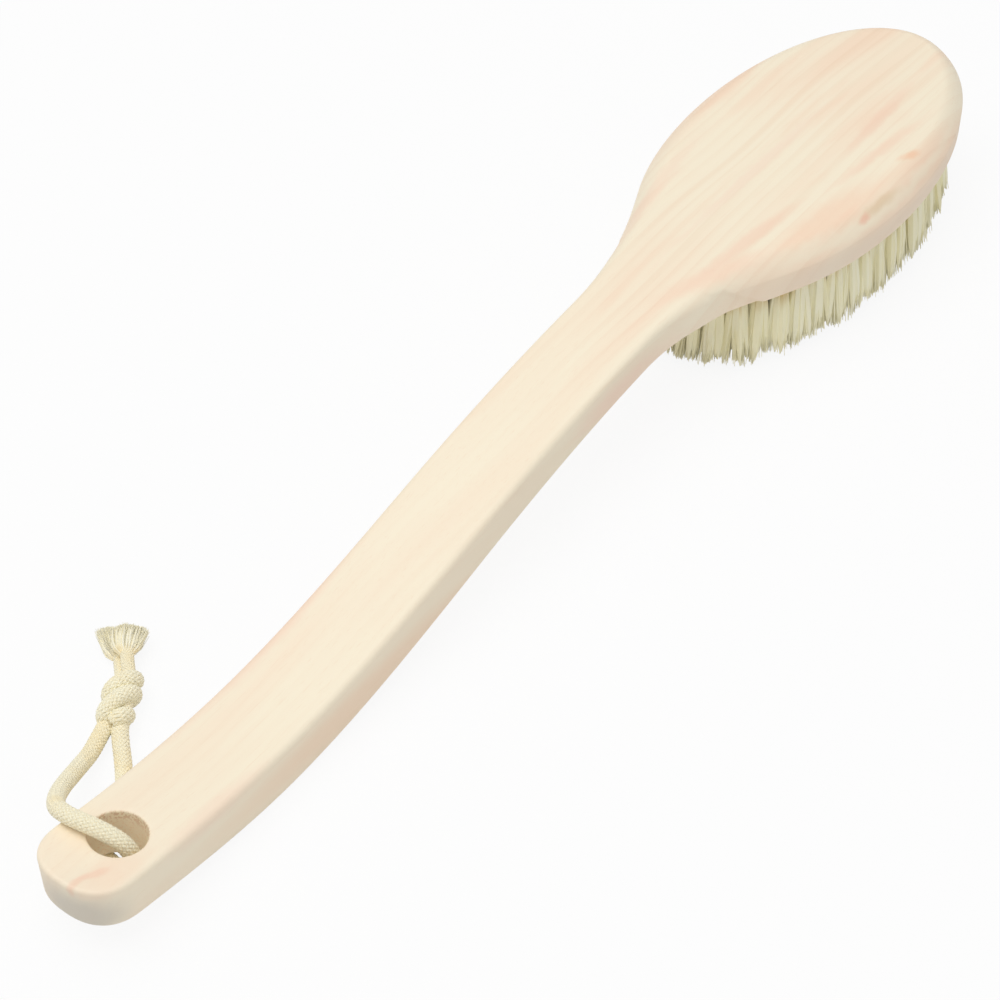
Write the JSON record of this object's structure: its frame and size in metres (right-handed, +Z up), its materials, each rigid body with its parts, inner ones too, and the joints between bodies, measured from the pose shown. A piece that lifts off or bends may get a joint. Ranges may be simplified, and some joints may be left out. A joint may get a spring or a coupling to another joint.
{
  "type": "body dry brush",
  "caption": "Long-handled wooden body brush with an oval head of natural bristle tufts and a knotted hanging cord.",
  "frame": {"origin": "on the surface the brush lies on, bristles down, under the middle of its box (hanging cord left out)", "axes": "+X from the handle end to the head's tip, +Y to the left of that, +Z up, away from the bristles"},
  "size_m": [0.38, 0.0944, 0.04],
  "materials": {
    "cypress_wood": "matte",
    "natural_bristle": "satin",
    "anchor_strip": "satin",
    "braided_cord": "matte",
    "cord_fibre": "matte"
  },
  "bodies": {
    "root": {"wooden_body": "cypress_wood", "tufts_ring_1_left": "natural_bristle", "tufts_ring_1_right": "natural_bristle", "tufts_ring_2_left": "natural_bristle", "tufts_ring_2_right": "natural_bristle", "tufts_ring_3_left": "natural_bristle", "tufts_ring_3_right": "natural_bristle", "tufts_ring_4_left": "natural_bristle", "tufts_ring_4_right": "natural_bristle", "tufts_centre_row": "natural_bristle", "anchors_ring_1_left": "anchor_strip", "anchors_ring_1_right": "anchor_strip", "anchors_ring_2_left": "anchor_strip", "anchors_ring_2_right": "anchor_strip", "anchors_ring_3_left": "anchor_strip", "anchors_ring_3_right": "anchor_strip", "anchors_ring_4_left": "anchor_strip", "anchors_ring_4_right": "anchor_strip", "anchors_centre_row": "anchor_strip", "cord_loop": "braided_cord", "cord_knot": "braided_cord", "cord_tail_lower": "braided_cord", "cord_tail_upper": "braided_cord", "cord_tassel": "cord_fibre"}
  },
  "joints": []
}
